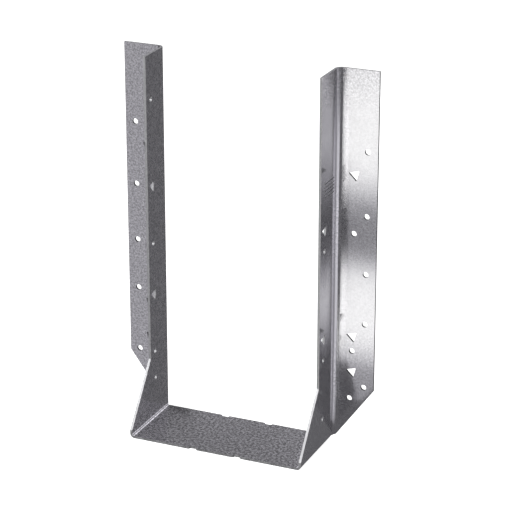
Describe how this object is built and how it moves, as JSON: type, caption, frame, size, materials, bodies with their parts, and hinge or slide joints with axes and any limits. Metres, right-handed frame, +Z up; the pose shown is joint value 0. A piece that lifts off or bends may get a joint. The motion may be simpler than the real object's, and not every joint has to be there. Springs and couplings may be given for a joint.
{
  "type": "joist hanger",
  "caption": "Folded galvanised sheet hanger: a flat seat between flared side panels, with nail flanges that fasten a timber's end to a header.",
  "frame": {"origin": "centre of the seat's bearing face", "axes": "+Z up along the side panels, +Y into the header, X across the timber"},
  "size_m": [0.2074, 0.0685, 0.2974],
  "materials": {
    "galvanised_steel": "hot-dip galvanised, satin with a fine spangle"
  },
  "bodies": {
    "root": {"hanger": "galvanised_steel"}
  },
  "joints": []
}
